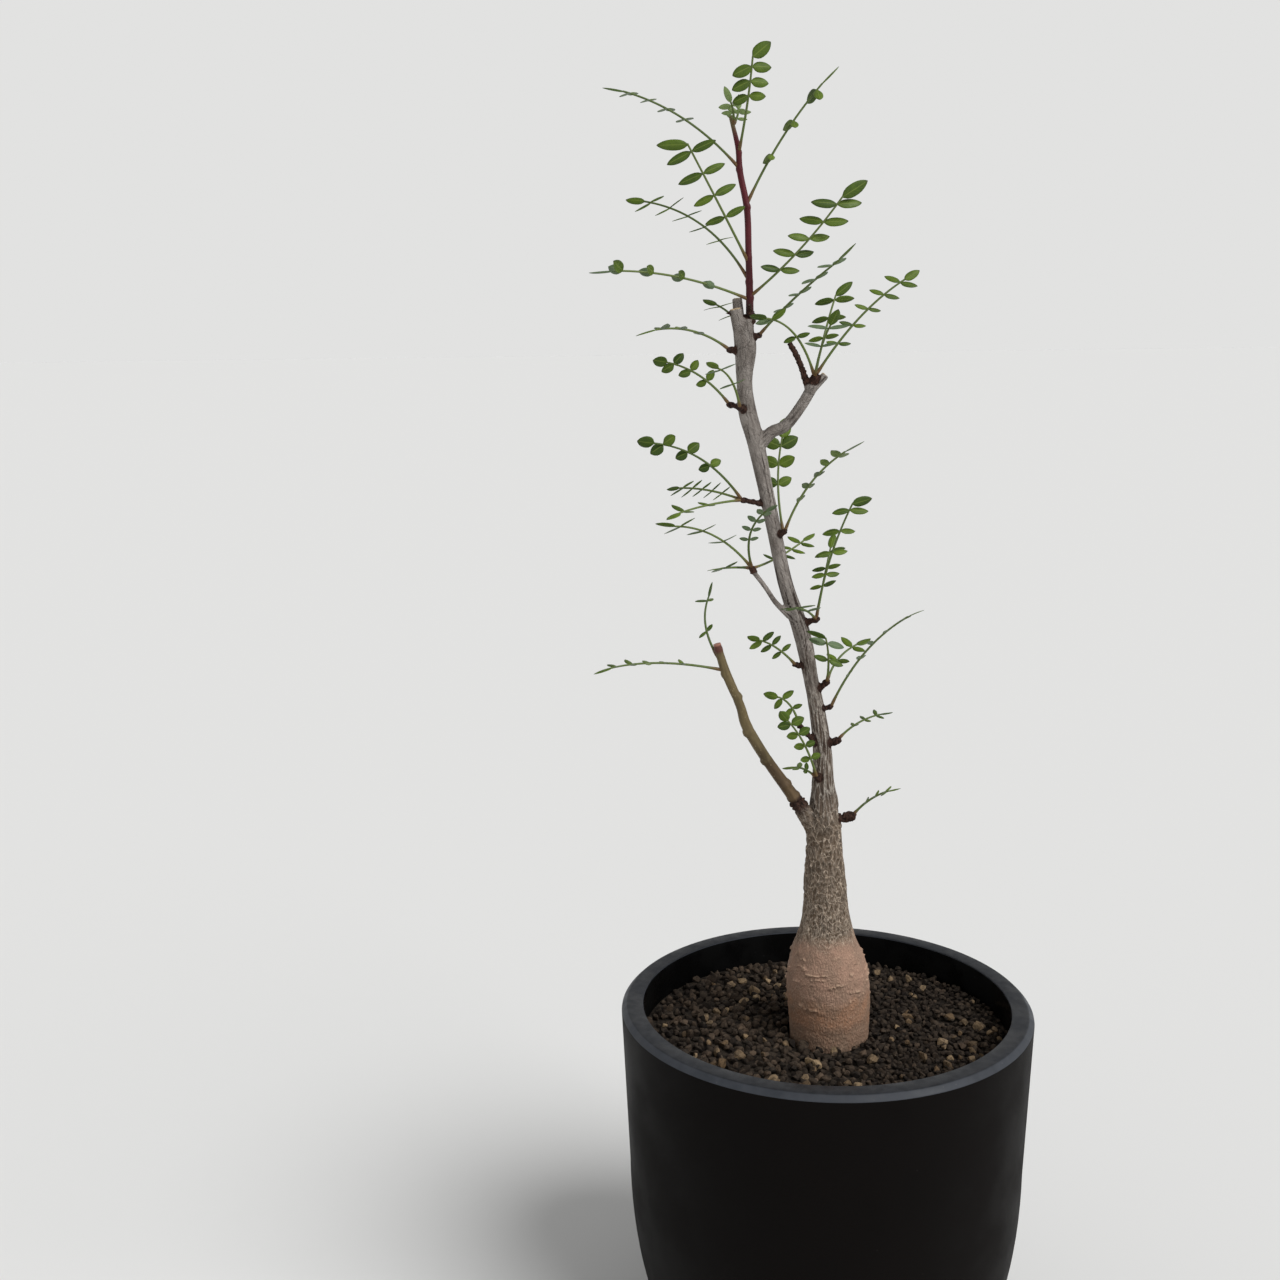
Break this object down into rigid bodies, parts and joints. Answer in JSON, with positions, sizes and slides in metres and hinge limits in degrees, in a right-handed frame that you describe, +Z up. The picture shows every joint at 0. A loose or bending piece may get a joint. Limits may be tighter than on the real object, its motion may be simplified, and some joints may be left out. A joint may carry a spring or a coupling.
{
  "type": "potted elephant tree",
  "caption": "Small elephant tree with a swollen base, slender forked trunk and feathery pinnate leaves, planted in grit in a round matte black pot.",
  "frame": {"origin": "centre of the pot's base, on the surface that the pot stands on", "axes": "+Z up along the pot's axis, -Y towards the viewer of the picture, +X to the viewer's right"},
  "size_m": [0.1575, 0.15, 0.4686],
  "materials": {
    "pot": "matte near-black with a slate grey rim and a glossier inner wall",
    "soil": "dark porous mineral grit with scattered tan grains",
    "bark": "grey-brown bark with a raised net of pale fibres, pinkish brown on the swollen base",
    "young_bark": "smooth olive-tan young bark",
    "red_bark": "smooth deep maroon young bark",
    "leaf": "fresh mid-green blades with a soft sheen on pale green stalks"
  },
  "bodies": {
    "root": {"pot": "pot", "soil": "soil", "trunk": "bark", "side_branch": "young_bark", "red_shoot": "red_bark", "shoot_leaf_1": "leaf", "shoot_leaf_9": "leaf", "shoot_leaf_2": "leaf", "shoot_leaf_3": "leaf", "shoot_leaf_4": "leaf", "shoot_leaf_5": "leaf", "shoot_leaf_6": "leaf", "shoot_leaf_7": "leaf", "shoot_leaf_8": "leaf", "crown_leaf_1": "leaf", "crown_leaf_2": "leaf", "crown_leaf_3": "leaf", "crown_leaf_4": "leaf", "crown_leaf_5": "leaf", "fork_leaf_1": "leaf", "fork_leaf_2": "leaf", "fork_leaf_3": "leaf", "fork_leaf_4": "leaf", "spur_leaf_1": "leaf", "spur_leaf_2": "leaf", "spur_leaf_3": "leaf", "twig_leaf_1": "leaf", "twig_leaf_2": "leaf", "twig_leaf_3": "leaf", "twig_leaf_4": "leaf", "right_leaf_1": "leaf", "right_leaf_2": "leaf", "mid_leaf_1": "leaf", "mid_leaf_2": "leaf", "mid_leaf_3": "leaf", "low_leaf_1": "leaf", "low_leaf_2": "leaf", "low_leaf_3": "leaf", "low_leaf_4": "leaf", "low_leaf_5": "leaf", "low_leaf_6": "leaf", "low_leaf_7": "leaf", "low_leaf_8": "leaf", "foot_leaf": "leaf", "branch_leaf_1": "leaf", "branch_leaf_2": "leaf"}
  },
  "joints": []
}
